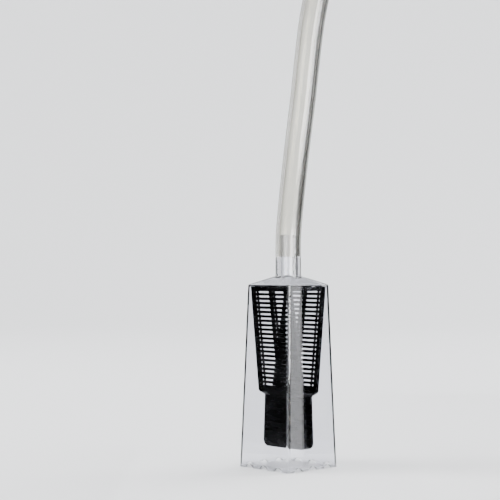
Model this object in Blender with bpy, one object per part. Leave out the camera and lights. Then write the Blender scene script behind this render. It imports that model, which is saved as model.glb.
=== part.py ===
"""Aquarium gravel vacuum siphon: clear square bell, black slotted insert, hose and a bucket clamp.

Metres, +Z up. The origin is on the bell's axis, in the plane of its mouth.
The bell stands on its mouth, the hose arches over and lies in a coil on the same surface.
"""

import math

import bmesh
import bpy
from mathutils import Vector

# ---- driving dimensions -------------------------------------------------------------------------

SEAT_GAP = 0.0003          # clearance left wherever two pieces meet

BELL_MOUTH = 0.0440        # outside width of the square bell at its mouth
BELL_TOP = 0.0370          # outside width where the walls meet the shoulder
BELL_HEIGHT = 0.1140       # mouth to shoulder edge
BELL_WALL = 0.0015
BELL_CORNER = 0.0022       # outside radius of the upright corners
SHOULDER_SLOPE = 0.437     # rise over run of the low pyramid shoulder

HOSE_OUTER = 0.0160
HOSE_BORE = 0.0120
NECK_RISE = 0.0175         # shoulder edge to the flat rim that the hose butts against
NECK_BORE = 0.0090
SPIGOT_LENGTH = 0.0140     # how far the neck's spigot reaches into the hose

NOTCH_WIDTH = 0.0070       # gravel notches in the mouth rim
NOTCH_HEIGHT = 0.0020
NOTCH_PLACES = (-0.29, 0.0, 0.29)   # along a side, as a share of the mouth's width

INSERT_SIDE_GAP = 0.0007   # between the insert's frame and the bell's inner wall
INSERT_TOP_GAP = 0.0004    # under the shoulder's inner face
FRAME_HEIGHT = 0.0026      # solid band round the insert's top
WEDGE_HEIGHT = 0.0674      # insert top to where the paddle starts
WEDGE_THICKNESS = 0.0140   # across both plates at that height
PLATE = 0.0015             # thickness of the insert's plates
FLANGE = 0.0026            # width of the upright flange along each plate's edges
WEDGE_CHAMFER = 0.0020     # cut on the wedge's lower corners
PADDLE_SIDE_GAP = 0.0024   # between the paddle's edges and the bell's inner wall
PADDLE_THICKNESS = 0.0072
PADDLE_LENGTH = 0.0335
PADDLE_CORNER = 0.0040

SLOT_PITCH = 0.00277
SLOT_HEIGHT = 0.0011
FIRST_SLOT_DROP = 0.0033   # insert top to the middle of the first row
SLOT_SPANS = ((0.095, 0.148), (0.17, 0.475), (0.545, 0.592), (0.615, 0.865))   # shares of plate width

COIL_CENTRE = (0.2850, 0.0700)
COIL_RADIUS = 0.0800       # to the middle of its turns
COIL_LAYERS = 2

# the hose's own route from the neck to where it joins the coil
HOSE_ROUTE = (
    (0.0000, 0.0000, 0.1265),
    (0.0000, 0.0000, 0.1465),
    (0.0049, 0.0000, 0.1815),
    (0.0124, 0.0000, 0.2260),
    (0.0250, 0.0000, 0.2935),
    (0.0513, 0.0000, 0.3378),
    (0.1014, 0.0000, 0.3560),
    (0.1515, 0.0000, 0.3378),
    (0.1782, 0.0000, 0.2915),
    (0.1820, 0.0000, 0.2400),
    (0.1812, 0.0000, 0.1850),
    (0.1808, -0.0010, 0.1300),
    (0.1840, -0.0040, 0.0780),
    (0.1975, -0.0075, 0.0400),
    (0.2130, -0.0090, 0.0210),
    (0.2321, -0.0098, 0.0116),
)
# the drain end: off the coil's inside and through the clamp's cradle
TAIL_ROUTE = (
    (0.2214, 0.0720, 0.0170),
    (0.2243, 0.0550, 0.0158),
    (0.2350, 0.0385, 0.0138),
    (0.2510, 0.0262, 0.0121),
    (0.2700, 0.0205, 0.0112),
    (0.2880, 0.0200, 0.0110),
    (0.3170, 0.0200, 0.0110),
)
HOSE_POINTS = 32
TAIL_POINTS = 12

CLAMP_X = 0.3000           # middle of the cradle along the hose
CRADLE_WALL = 0.0027
CRADLE_LENGTH = 0.0180
CRADLE_MOUTH_DEG = 84.0    # open angle of the snap-in mouth
JAW = 0.0032               # thickness of the back jaw
FRONT_JAW = 0.0060
JAW_GAP = 0.0160           # room for a bucket's rim
JAW_LENGTH = 0.0400
FRONT_JAW_LENGTH = 0.0300
BRIDGE = 0.0045
SCREW_RADIUS = 0.0034
SCREW_FROM_TIP = 0.0090    # screw axis to the front jaw's free end
SCREW_TIP_RADIUS = 0.0021
SCREW_TIP_LENGTH = 0.0016
KNOB_RADIUS = 0.0092
KNOB_HEIGHT = 0.0065
KNOB_LOBES = 6
KNOB_LOBE_DEPTH = 0.0012
PAD_RADIUS = 0.0062
PAD_THICKNESS = 0.0030
PAD_STOP_GAP = 0.0007      # left between the pad and the back jaw, screwed right in

# ---- worked-out sizes ---------------------------------------------------------------------------

HOSE_RADIUS = HOSE_OUTER / 2
SPIGOT_RADIUS = HOSE_BORE / 2 - SEAT_GAP
SHOULDER_DROP = BELL_WALL * math.hypot(1.0, SHOULDER_SLOPE)   # wall measured straight down
NECK_TOP = BELL_HEIGHT + NECK_RISE
CRADLE_OUTER = HOSE_RADIUS + SEAT_GAP + CRADLE_WALL
CLAMP_WIDTH = 2 * CRADLE_OUTER                  # across the clamp, along Z as it lies
CRADLE_Y = TAIL_ROUTE[-1][1]
CRADLE_Z = CRADLE_OUTER
BACK_JAW_Y = CRADLE_Y + HOSE_RADIUS + SEAT_GAP + CRADLE_WALL / 2
GAP_LOW_Y = BACK_JAW_Y + JAW
GAP_HIGH_Y = GAP_LOW_Y + JAW_GAP
BRIDGE_X = CLAMP_X - JAW_LENGTH / 2
SCREW_X = BRIDGE_X + FRONT_JAW_LENGTH - SCREW_FROM_TIP
PAD_Y = GAP_HIGH_Y - SEAT_GAP - PAD_THICKNESS   # the pad's clamping face, screw wound back
SCREW_TRAVEL = PAD_Y - GAP_LOW_Y - PAD_STOP_GAP
KNOB_Y = GAP_HIGH_Y + FRONT_JAW + SCREW_TRAVEL + 2 * SEAT_GAP


def bell_half(height):
    """Half the bell's outside width at a height."""
    share = height / BELL_HEIGHT
    return (BELL_MOUTH + (BELL_TOP - BELL_MOUTH) * share) / 2


def shoulder_height(reach):
    """Outside height of the shoulder at a distance from the axis, measured square to a side."""
    return BELL_HEIGHT + SHOULDER_SLOPE * (BELL_TOP / 2 - reach)


INSERT_TOP_HALF = bell_half(BELL_HEIGHT) - BELL_WALL - INSERT_SIDE_GAP
INSERT_TOP = shoulder_height(INSERT_TOP_HALF) - SHOULDER_DROP - INSERT_TOP_GAP
WEDGE_BOTTOM = INSERT_TOP - WEDGE_HEIGHT
WEDGE_BOTTOM_HALF = bell_half(WEDGE_BOTTOM) - BELL_WALL - INSERT_SIDE_GAP / 2
PADDLE_BOTTOM = WEDGE_BOTTOM - PADDLE_LENGTH
PADDLE_TOP_HALF = bell_half(WEDGE_BOTTOM) - BELL_WALL - PADDLE_SIDE_GAP
PADDLE_BOTTOM_HALF = bell_half(PADDLE_BOTTOM) - BELL_WALL - PADDLE_SIDE_GAP
SLOT_ROWS = int((WEDGE_HEIGHT - FIRST_SLOT_DROP - WEDGE_CHAMFER) / SLOT_PITCH)


# ---- helpers ------------------------------------------------------------------------------------


def clear_scene():
    """Remove every object that the file holds."""
    for item in list(bpy.data.objects):
        bpy.data.objects.remove(item, do_unlink=True)


def make_material(name, colour, roughness, metallic=0.0):
    """A Principled material in one colour."""
    material = bpy.data.materials.new(name)
    material.use_nodes = True
    shader = material.node_tree.nodes["Principled BSDF"]
    shader.inputs["Base Color"].default_value = colour
    shader.inputs["Roughness"].default_value = roughness
    shader.inputs["Metallic"].default_value = metallic
    shader.inputs["Alpha"].default_value = colour[3]
    return material


def add_object(name, mesh, material=None):
    """Link a mesh as a named object with its material."""
    item = bpy.data.objects.new(name, mesh)
    bpy.context.scene.collection.objects.link(item)
    if material:
        mesh.materials.append(material)
    return item


def mesh_from(name, build):
    """A mesh filled by a function that works on a bmesh, with its faces turned outwards."""
    mesh = bpy.data.meshes.new(name)
    work = bmesh.new()
    build(work)
    bmesh.ops.recalc_face_normals(work, faces=work.faces)
    work.to_mesh(mesh)
    work.free()
    return mesh


def loft(work, rings, closed=False):
    """Skin rings of equal length; the ends are capped unless the loft closes on itself."""
    rows = [[work.verts.new(point) for point in ring] for ring in rings]
    count = len(rows[0])
    pairs = list(zip(rows, rows[1:]))
    if closed:
        pairs.append((rows[-1], rows[0]))
    for low, high in pairs:
        for i in range(count):
            j = (i + 1) % count
            work.faces.new((low[i], low[j], high[j], high[i]))
    if not closed:
        work.faces.new(list(reversed(rows[0])))
        work.faces.new(rows[-1])


def extrude(work, outline, low, high, place):
    """A prism: a flat outline (a, b) between two depths, placed by place(a, b, depth)."""
    loft(work, [[place(a, b, depth) for a, b in outline] for depth in (low, high)])


def cylinder(work, radius, low, high, place, sides=32):
    """A round prism from low to high."""
    turns = [2 * math.pi * i / sides for i in range(sides)]
    outline = [(radius * math.cos(t), radius * math.sin(t)) for t in turns]
    extrude(work, outline, low, high, place)


def hide_cutter(item):
    """Mark an object as a cutter, which is not part of the model."""
    item.hide_render = True
    item.display_type = "WIRE"


def boolean(item, tool, operation):
    """Cut or join with an exact Boolean modifier and hide the tool."""
    change = item.modifiers.new(operation.lower(), "BOOLEAN")
    change.operation = operation
    change.solver = "EXACT"
    change.object = tool
    hide_cutter(tool)


def upright(a, b, depth):
    """Outline in X and Y, depth along Z."""
    return (a, b, depth)


# ---- bell ---------------------------------------------------------------------------------------


def square_ring(half, corner, height):
    """A square ring with rounded corners; its points stay in step with round_ring."""
    points = []
    for quarter in range(4):
        turn = quarter * math.pi / 2
        for step in range(-3, 4):
            slope = math.tan(math.radians(12 * step))
            points.append((half, (half - corner) * slope / math.tan(math.radians(36)), turn))
        for step in range(1, 5):
            bend = math.radians(90 * step / 5)
            reach = half - corner
            points.append((reach + corner * math.cos(bend), reach + corner * math.sin(bend), turn))
    return [
        (x * math.cos(t) - y * math.sin(t), x * math.sin(t) + y * math.cos(t), height)
        for x, y, t in points
    ]


def round_ring(radius, height):
    """A circle of points at the same turns as square_ring's; height may be a rule of the point."""
    turns = []
    for quarter in range(4):
        turns += [quarter * 90 + 12 * step for step in range(-3, 4)]
        turns += [quarter * 90 + 36 + 18 * step / 5 for step in range(1, 5)]
    points = []
    for turn in turns:
        x = radius * math.cos(math.radians(turn))
        y = radius * math.sin(math.radians(turn))
        points.append((x, y, height(max(abs(x), abs(y))) if callable(height) else height))
    return points


def build_bell_shell(work):
    """Walls, shoulder, neck and spigot as one moulding, open at the mouth and at the spigot."""
    inner_corner = BELL_CORNER - BELL_WALL
    inner_rim = BELL_TOP / 2 - BELL_WALL
    bore = NECK_BORE / 2
    spigot_top = NECK_TOP + SPIGOT_LENGTH

    def inner_shoulder(reach):
        return shoulder_height(reach) - SHOULDER_DROP

    loft(work, [
        square_ring(BELL_MOUTH / 2, BELL_CORNER, 0.0),
        square_ring(BELL_TOP / 2, BELL_CORNER, BELL_HEIGHT),
        round_ring(HOSE_RADIUS, shoulder_height),
        round_ring(HOSE_RADIUS, NECK_TOP),
        round_ring(SPIGOT_RADIUS, NECK_TOP),
        round_ring(SPIGOT_RADIUS, spigot_top - 0.0010),
        round_ring(SPIGOT_RADIUS - 0.0007, spigot_top),
        round_ring(bore, spigot_top),
        round_ring(bore, inner_shoulder),
        square_ring(inner_rim, inner_corner, inner_shoulder(inner_rim)),
        square_ring(BELL_MOUTH / 2 - BELL_WALL, inner_corner, 0.0),
    ], closed=True)


def build_notches(work):
    """Three V notches in each side of the mouth rim, as one set of cutters."""
    half = NOTCH_WIDTH / 2
    wedge = ((-half, -NOTCH_HEIGHT / 2), (half, -NOTCH_HEIGHT / 2), (0.0, NOTCH_HEIGHT))
    inner = BELL_MOUTH / 2 - 2.5 * BELL_WALL
    outer = BELL_MOUTH / 2 + BELL_WALL
    slack = 1.5   # the wedge widens below the rim, so that it is full width at the rim
    for quarter in range(4):
        turn = quarter * math.pi / 2
        for share in NOTCH_PLACES:
            middle = share * BELL_MOUTH
            outline = [(middle + a * slack, b) for a, b in wedge]
            extrude(work, outline, inner, outer, lambda a, b, depth, t=turn: (
                depth * math.cos(t) - a * math.sin(t),
                depth * math.sin(t) + a * math.cos(t),
                b,
            ))


def make_bell(material):
    """The clear gravel bell."""
    bell = add_object("bell", mesh_from("bell", build_bell_shell), material)
    cutters = add_object("bell_notch_cutters", mesh_from("bell_notch_cutters", build_notches))
    boolean(bell, cutters, "DIFFERENCE")
    return bell


# ---- slotted insert -----------------------------------------------------------------------------


def wedge_half_width(height):
    """Half the insert's width in X at a height on the wedge."""
    share = (INSERT_TOP - height) / (INSERT_TOP - WEDGE_BOTTOM)
    return INSERT_TOP_HALF + (WEDGE_BOTTOM_HALF - INSERT_TOP_HALF) * share


def wedge_half_thickness(height):
    """Half the insert's thickness in Y at a height on the wedge."""
    share = (INSERT_TOP - height) / (INSERT_TOP - WEDGE_BOTTOM)
    return INSERT_TOP_HALF + (WEDGE_THICKNESS / 2 - INSERT_TOP_HALF) * share


def insert_outline():
    """Front view of the insert, X against Z, as a closed outline."""
    shoulder = WEDGE_BOTTOM_HALF
    right = [
        (INSERT_TOP_HALF, INSERT_TOP),
        (shoulder, WEDGE_BOTTOM + WEDGE_CHAMFER),
        (shoulder - WEDGE_CHAMFER, WEDGE_BOTTOM),
        (PADDLE_TOP_HALF, WEDGE_BOTTOM),
    ]
    middle = PADDLE_BOTTOM_HALF - PADDLE_CORNER
    for step in range(6):
        bend = math.radians(18 * step)
        right.append((
            middle + PADDLE_CORNER * math.cos(bend),
            PADDLE_BOTTOM + PADDLE_CORNER - PADDLE_CORNER * math.sin(bend),
        ))
    return right + [(-x, z) for x, z in reversed(right)]


def side_profile(wedge_inset, paddle_inset, top, bottom):
    """Side view of the insert, Y against Z, with its faces moved inwards by the insets."""
    half = WEDGE_THICKNESS / 2 - wedge_inset
    paddle = PADDLE_THICKNESS / 2 - paddle_inset
    right = [
        (wedge_half_thickness(top) - wedge_inset, top),
        (half, WEDGE_BOTTOM + WEDGE_CHAMFER / 2),
        (paddle, WEDGE_BOTTOM - WEDGE_CHAMFER / 2),
        (paddle, bottom),
    ]
    return right + [(-y, z) for y, z in reversed(right)]


def build_insert_block(work):
    """The insert's front view, extruded right through."""
    reach = INSERT_TOP_HALF + 0.001
    extrude(work, insert_outline(), -reach, reach, lambda a, b, depth: (a, depth, b))


def build_insert_side(work):
    """The insert's side view, extruded wider than the block."""
    reach = WEDGE_BOTTOM_HALF + 0.002
    outline = side_profile(0.0, 0.0, INSERT_TOP + 0.002, PADDLE_BOTTOM - 0.002)
    extrude(work, outline, -reach, reach, lambda a, b, depth: (depth, a, b))


def build_end_windows(work):
    """The open narrow ends, from under the top band down to the paddle's floor."""
    reach = WEDGE_BOTTOM_HALF + 0.003
    outline = side_profile(FLANGE, PLATE, INSERT_TOP - FRAME_HEIGHT, PADDLE_BOTTOM + PLATE)
    extrude(work, outline, -reach, reach, lambda a, b, depth: (depth, a, b))


def build_insert_hollow(work):
    """The wedge's inside, open at the top; the end windows leave flanges along its edges."""
    rings = []
    for height in (WEDGE_BOTTOM + WEDGE_CHAMFER / 2 + PLATE, INSERT_TOP + 0.002):
        x = wedge_half_width(height) - PLATE
        y = wedge_half_thickness(height) - PLATE
        rings.append([(x, y, height), (-x, y, height), (-x, -y, height), (x, -y, height)])
    loft(work, rings)


def build_slots(work):
    """Every slot in both plates, as one set of separate cutters."""
    for row in range(SLOT_ROWS):
        height = INSERT_TOP - FIRST_SLOT_DROP - row * SLOT_PITCH
        half = wedge_half_width(height)
        face = wedge_half_thickness(height)
        for side in (-1, 1):
            for start, end in SLOT_SPANS:
                ends = [side * half * (2 * share - 1) for share in (start, end)]
                outline = (
                    (min(ends), height - SLOT_HEIGHT / 2),
                    (max(ends), height - SLOT_HEIGHT / 2),
                    (max(ends), height + SLOT_HEIGHT / 2),
                    (min(ends), height + SLOT_HEIGHT / 2),
                )
                near = -side * (face - 2 * PLATE)
                far = -side * (face + PLATE)
                extrude(work, outline, min(near, far), max(near, far), lambda a, b, depth: (a, depth, b))


def make_insert(material):
    """The black slotted insert with its paddle, on the bell's axis."""
    name = "strainer_insert"
    insert = add_object(name, mesh_from(name, build_insert_block), material)
    side = add_object(name + "_side_cutter", mesh_from(name + "_side", build_insert_side))
    hollow = add_object(name + "_hollow_cutter", mesh_from(name + "_hollow", build_insert_hollow))
    windows = add_object(name + "_window_cutter", mesh_from(name + "_windows", build_end_windows))
    slots = add_object(name + "_slot_cutters", mesh_from(name + "_slots", build_slots))
    boolean(insert, side, "INTERSECT")
    boolean(insert, hollow, "DIFFERENCE")
    boolean(insert, windows, "DIFFERENCE")
    boolean(insert, slots, "DIFFERENCE")
    return insert


# ---- hose ---------------------------------------------------------------------------------------


def smooth_route(points, count):
    """Evenly spaced points along a smooth curve through the given ones."""
    knots = [Vector(point) for point in points]
    knots = [2 * knots[0] - knots[1]] + knots + [2 * knots[-1] - knots[-2]]
    fine = []
    for i in range(1, len(knots) - 2):
        before, start, end, after = knots[i - 1:i + 3]
        for step in range(24):
            t = step / 24
            fine.append(0.5 * (
                2 * start
                + (end - before) * t
                + (2 * before - 5 * start + 4 * end - after) * t ** 2
                + (3 * start - before - 3 * end + after) * t ** 3
            ))
    fine.append(knots[-2])
    lengths = [0.0]
    for start, end in zip(fine, fine[1:]):
        lengths.append(lengths[-1] + (end - start).length)
    route = []
    place = 0
    for i in range(count):
        target = lengths[-1] * i / (count - 1)
        while place < len(fine) - 2 and lengths[place + 1] < target:
            place += 1
        share = (target - lengths[place]) / (lengths[place + 1] - lengths[place])
        route.append(fine[place].lerp(fine[place + 1], share))
    return route


def hose_curve(name, route, material):
    """A tube of the hose's outside diameter along a route, as a curve with filled caps."""
    curve = bpy.data.curves.new(name, "CURVE")
    curve.dimensions = "3D"
    curve.bevel_depth = HOSE_RADIUS
    curve.bevel_resolution = 4
    curve.use_fill_caps = True
    spline = curve.splines.new("POLY")
    spline.points.add(len(route) - 1)
    for point, place in zip(spline.points, route):
        point.co = (*place, 1.0)
    curve.materials.append(material)
    item = bpy.data.objects.new(name, curve)
    bpy.context.scene.collection.objects.link(item)
    return item


def make_hose(material):
    """The hose from the neck to the coil, cut flat at the neck, with a pocket for its spigot."""
    tube = hose_curve("hose_centreline", smooth_route(HOSE_ROUTE, HOSE_POINTS), material)
    bpy.context.view_layer.update()
    solid = bpy.data.meshes.new_from_object(tube.evaluated_get(bpy.context.evaluated_depsgraph_get()))
    bpy.data.objects.remove(tube, do_unlink=True)
    hose = add_object("hose", solid)
    top = NECK_TOP + SPIGOT_LENGTH + SEAT_GAP
    butt = NECK_TOP + SEAT_GAP

    def ring(radius, height):
        turns = [math.radians(15 * i) for i in range(24)]
        return [(radius * math.cos(t), radius * math.sin(t), height) for t in turns]

    def build_pocket(work):
        loft(work, [
            ring(1.5 * HOSE_RADIUS, butt - HOSE_RADIUS),
            ring(1.5 * HOSE_RADIUS, butt),
            ring(HOSE_BORE / 2, butt),
            ring(HOSE_BORE / 2, top),
        ])

    boolean(hose, add_object("hose_pocket_cutter", mesh_from("hose_pocket", build_pocket)), "DIFFERENCE")
    return hose


def make_coil(material):
    """The outer shape of the stored turns: a turned ring with eased edges."""
    half = HOSE_RADIUS
    tall = COIL_LAYERS * HOSE_OUTER
    ease = 0.0045
    section = (
        (-half, ease), (-half + ease, 0.0), (half - ease, 0.0), (half, ease),
        (half, tall - ease), (half - ease, tall), (-half + ease, tall), (-half, tall - ease),
    )

    def build(work):
        steps = 64
        rings = []
        for i in range(steps):
            turn = 2 * math.pi * i / steps
            rings.append([
                (
                    COIL_CENTRE[0] + (COIL_RADIUS + out) * math.cos(turn),
                    COIL_CENTRE[1] + (COIL_RADIUS + out) * math.sin(turn),
                    up,
                )
                for out, up in section
            ])
        loft(work, rings, closed=True)

    return add_object("hose_coil", mesh_from("hose_coil", build), material)


def make_tail(material):
    """The drain end of the hose, off the coil and through the clamp's cradle."""
    return hose_curve("hose_drain_end", smooth_route(TAIL_ROUTE, TAIL_POINTS), material)


# ---- bucket clamp -------------------------------------------------------------------------------


def cradle_outline():
    """Section of the snap-in cradle, Y against Z, open towards -Y."""
    inner = HOSE_RADIUS + SEAT_GAP
    start = math.radians(180 + CRADLE_MOUTH_DEG / 2)
    end = math.radians(540 - CRADLE_MOUTH_DEG / 2)
    steps = 28
    turns = [start + (end - start) * i / steps for i in range(steps + 1)]
    outside = [(CRADLE_OUTER * math.cos(t), CRADLE_OUTER * math.sin(t)) for t in turns]
    inside = [(inner * math.cos(t), inner * math.sin(t)) for t in reversed(turns)]
    return [(CRADLE_Y + y, CRADLE_Z + z) for y, z in outside + inside]


def clamp_outline():
    """The clamp's U, X against Y: back jaw, bridge and front jaw, with rounded outer corners."""
    left = BRIDGE_X - BRIDGE
    far = GAP_HIGH_Y + FRONT_JAW
    near = BACK_JAW_Y
    round_radius = 0.0040
    outline = [(BRIDGE_X + JAW_LENGTH, near), (BRIDGE_X + JAW_LENGTH, GAP_LOW_Y)]
    outline += arc(BRIDGE_X + 0.0020, GAP_LOW_Y + 0.0020, 0.0020, 270, 180)
    outline += arc(BRIDGE_X + 0.0020, GAP_HIGH_Y - 0.0020, 0.0020, 180, 90)
    outline += [(BRIDGE_X + FRONT_JAW_LENGTH, GAP_HIGH_Y), (BRIDGE_X + FRONT_JAW_LENGTH, far)]
    outline += arc(left + round_radius, far - round_radius, round_radius, 90, 180)
    outline += arc(left + round_radius / 2, near + round_radius / 2, round_radius / 2, 180, 270)
    return outline


def arc(x, y, radius, start, end, steps=5):
    """Points on an arc, angles in degrees."""
    turns = [math.radians(start + (end - start) * i / steps) for i in range(steps + 1)]
    return [(x + radius * math.cos(t), y + radius * math.sin(t)) for t in turns]


def across(a, b, depth):
    """Outline in X and Z about the screw's axis, depth along Y."""
    return (SCREW_X + a, depth, CRADLE_Z + b)


def make_clamp_body(material):
    """Bucket clamp body: U shaped jaws with the hose's snap-in cradle on the back jaw."""

    def build_jaws(work):
        extrude(work, clamp_outline(), 0.0, CLAMP_WIDTH, upright)

    def build_cradle(work):
        low = CLAMP_X - CRADLE_LENGTH / 2
        high = CLAMP_X + CRADLE_LENGTH / 2
        extrude(work, cradle_outline(), low, high, lambda a, b, depth: (depth, a, b))

    def build_hole(work):
        cylinder(work, SCREW_RADIUS + SEAT_GAP, GAP_HIGH_Y - 0.002, GAP_HIGH_Y + FRONT_JAW + 0.002, across)

    body = add_object("clamp_body", mesh_from("clamp_body", build_jaws), material)
    boolean(body, add_object("clamp_cradle_tool", mesh_from("clamp_cradle", build_cradle)), "UNION")
    boolean(body, add_object("clamp_hole_cutter", mesh_from("clamp_hole", build_hole)), "DIFFERENCE")
    return body


def make_clamp_screw(material):
    """Thumb screw: fluted knob, shank and a narrow tip that turns in the pad."""
    flutes = 6 * KNOB_LOBES
    outline = []
    for i in range(flutes):
        turn = 2 * math.pi * i / flutes
        radius = KNOB_RADIUS - KNOB_LOBE_DEPTH * (1 - math.cos(KNOB_LOBES * turn)) / 2
        outline.append((radius, turn))
    shank_end = PAD_Y + PAD_THICKNESS + SEAT_GAP

    def ring(scale, depth, radius=None):
        return [
            across(r * math.cos(t), r * math.sin(t), depth)
            for r, t in [((radius or scale * size), turn) for size, turn in outline]
        ]

    def build(work):
        loft(work, [
            ring(0, shank_end - SCREW_TIP_LENGTH, SCREW_TIP_RADIUS),
            ring(0, shank_end, SCREW_TIP_RADIUS),
            ring(0, shank_end, SCREW_RADIUS),
            ring(0, KNOB_Y, SCREW_RADIUS),
            ring(0.93, KNOB_Y),
            ring(1.0, KNOB_Y + 0.0008),
            ring(1.0, KNOB_Y + KNOB_HEIGHT - 0.0012),
            ring(0.86, KNOB_Y + KNOB_HEIGHT),
        ])

    return add_object("clamp_screw", mesh_from("clamp_screw", build), material)


def make_clamp_pad(material):
    """Pressure pad on the screw's tip, with a blind socket that the tip turns in."""
    back = PAD_Y + PAD_THICKNESS
    floor = back + SEAT_GAP - SCREW_TIP_LENGTH - SEAT_GAP
    socket = SCREW_TIP_RADIUS + SEAT_GAP
    steps = 36

    def ring(radius, depth):
        turns = [2 * math.pi * i / steps for i in range(steps)]
        return [across(radius * math.cos(t), radius * math.sin(t), depth) for t in turns]

    def build(work):
        loft(work, [
            ring(PAD_RADIUS - 0.0006, PAD_Y),
            ring(PAD_RADIUS, PAD_Y + 0.0006),
            ring(PAD_RADIUS, back - 0.0008),
            ring(PAD_RADIUS - 0.0014, back),
            ring(socket, back),
            ring(socket, floor),
        ])

    return add_object("clamp_pad", mesh_from("clamp_pad", build), material)


# ---- assembly -----------------------------------------------------------------------------------


def main():
    """Build every sub-part in place."""
    clear_scene()
    make_bell(make_material("clear_moulding", (0.82, 0.85, 0.88, 0.35), 0.05))
    make_insert(make_material("black_moulding", (0.010, 0.010, 0.012, 1.0), 0.22))
    hose_finish = (0.80, 0.82, 0.80, 0.45)
    make_hose(make_material("hose_vinyl", hose_finish, 0.16))
    make_coil(make_material("coil_vinyl", hose_finish, 0.16))
    make_tail(make_material("drain_end_vinyl", hose_finish, 0.16))
    make_clamp_body(make_material("clamp_moulding", (0.012, 0.012, 0.014, 1.0), 0.30))
    make_clamp_screw(make_material("screw_moulding", (0.016, 0.016, 0.018, 1.0), 0.32))
    make_clamp_pad(make_material("pad_moulding", (0.020, 0.020, 0.022, 1.0), 0.45))
    bpy.context.view_layer.update()


main()
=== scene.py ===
"""Looks of the gravel vacuum siphon: clear bell, black slotted insert, vinyl hose and bucket clamp.

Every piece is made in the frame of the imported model, in metres, and rides on one of its bodies.
"""

import logging
import math
from dataclasses import dataclass, field
from enum import Enum
from typing import Callable, Sequence

import bmesh
import bpy
from mathutils import Matrix, Vector


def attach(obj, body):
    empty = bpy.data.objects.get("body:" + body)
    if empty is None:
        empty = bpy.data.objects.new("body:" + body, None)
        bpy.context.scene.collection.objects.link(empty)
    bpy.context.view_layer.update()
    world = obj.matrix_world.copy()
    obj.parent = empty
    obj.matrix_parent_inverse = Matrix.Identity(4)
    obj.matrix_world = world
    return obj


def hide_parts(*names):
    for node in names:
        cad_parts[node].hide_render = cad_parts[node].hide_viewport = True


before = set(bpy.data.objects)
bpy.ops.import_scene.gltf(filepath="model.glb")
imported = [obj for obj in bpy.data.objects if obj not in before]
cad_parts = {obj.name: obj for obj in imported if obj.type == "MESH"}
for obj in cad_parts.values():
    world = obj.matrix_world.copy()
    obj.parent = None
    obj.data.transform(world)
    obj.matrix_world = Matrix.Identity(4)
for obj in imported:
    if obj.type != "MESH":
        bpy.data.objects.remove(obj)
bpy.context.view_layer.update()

LOG = logging.getLogger("siphon")
MM = 0.001
Flat = tuple[float, float]
Point = tuple[float, float, float]
Ring = list[Point]
Piece = bpy.types.Object
Socket = bpy.types.NodeSocket
Dressing = bpy.types.Material


class Body(Enum):
    """The bodies that pieces ride on."""

    SIPHON = "siphon"
    INSERT = "insert"
    PAD = "pad"
    SCREW = "screw"


class Slot(Enum):
    """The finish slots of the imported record."""

    CLEAR = "clear_moulding"
    BLACK = "black_moulding"
    VINYL = "hose_vinyl"
    CLAMP = "clamp_moulding"


# ---- mesh helpers -------------------------------------------------------------------------------


def new_object(name: str, mesh: bpy.types.Mesh) -> Piece:
    """Link a mesh to the scene as an object at the origin.

    Args:
        name: the object's name.
        mesh: its mesh, already in place.

    Returns:
        The linked object.
    """
    item = bpy.data.objects.new(name, mesh)
    bpy.context.scene.collection.objects.link(item)
    return item


def skin(rings: Sequence[Ring], closed: bool = False) -> bmesh.types.BMesh:
    """Join rings of equal length with quads, capping the ends of an open row of rings.

    Args:
        rings: closed rings of points, in order.
        closed: whether the last ring joins the first.

    Returns:
        A bmesh whose faces point outwards.
    """
    work = bmesh.new()
    rows = [[work.verts.new(point) for point in ring] for ring in rings]
    count = len(rows[0])
    pairs = list(zip(rows, rows[1:]))
    if closed:
        pairs.append((rows[-1], rows[0]))
    for low, high in pairs:
        for i in range(count):
            j = (i + 1) % count
            work.faces.new((low[i], low[j], high[j], high[i]))
    if not closed:
        work.faces.new(list(reversed(rows[0])))
        work.faces.new(rows[-1])
    bmesh.ops.recalc_face_normals(work, faces=work.faces)
    return work


def to_object(name: str, work: bmesh.types.BMesh) -> Piece:
    """Turn a bmesh into an object and free it.

    Args:
        name: the object's name.
        work: the bmesh to use up.

    Returns:
        The new object.
    """
    mesh = bpy.data.meshes.new(name)
    work.to_mesh(mesh)
    work.free()
    return new_object(name, mesh)


def along_x(a: float, b: float, depth: float) -> Point:
    """The point for an outline in Y and Z, deep along X."""
    return (depth, a, b)


def along_y(a: float, b: float, depth: float) -> Point:
    """The point for an outline in X and Z, deep along Y."""
    return (a, depth, b)


def along_z(a: float, b: float, depth: float) -> Point:
    """The point for an outline in X and Y, deep along Z."""
    return (a, b, depth)


def prism(name: str, outline: Sequence[Flat], low: float, high: float,
          place: Callable[[float, float, float], Point]) -> Piece:
    """Extrude a flat outline.

    Args:
        name: the object's name.
        outline: points (a, b) of the closed outline.
        low: first depth.
        high: last depth.
        place: gives the point in space for (a, b, depth).

    Returns:
        The extruded object.
    """
    return to_object(name, skin([[place(a, b, depth) for a, b in outline] for depth in (low, high)]))


def arc(x: float, y: float, radius: float, start: float, end: float, steps: int = 8) -> list[Flat]:
    """Points on a flat arc.

    Args:
        x: centre.
        y: centre.
        radius: its radius.
        start: first angle in degrees.
        end: last angle in degrees.
        steps: how many chords.

    Returns:
        The points, both ends included.
    """
    turns = [math.radians(start + (end - start) * i / steps) for i in range(steps + 1)]
    return [(x + radius * math.cos(t), y + radius * math.sin(t)) for t in turns]


def circle(radius: float, sides: int, place: Callable[[float, float], Point]) -> Ring:
    """A ring of evenly spaced points.

    Args:
        radius: its radius.
        sides: how many points.
        place: gives the point in space for (a, b).

    Returns:
        The ring.
    """
    turns = [2 * math.pi * i / sides for i in range(sides)]
    return [place(radius * math.cos(t), radius * math.sin(t)) for t in turns]


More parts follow.
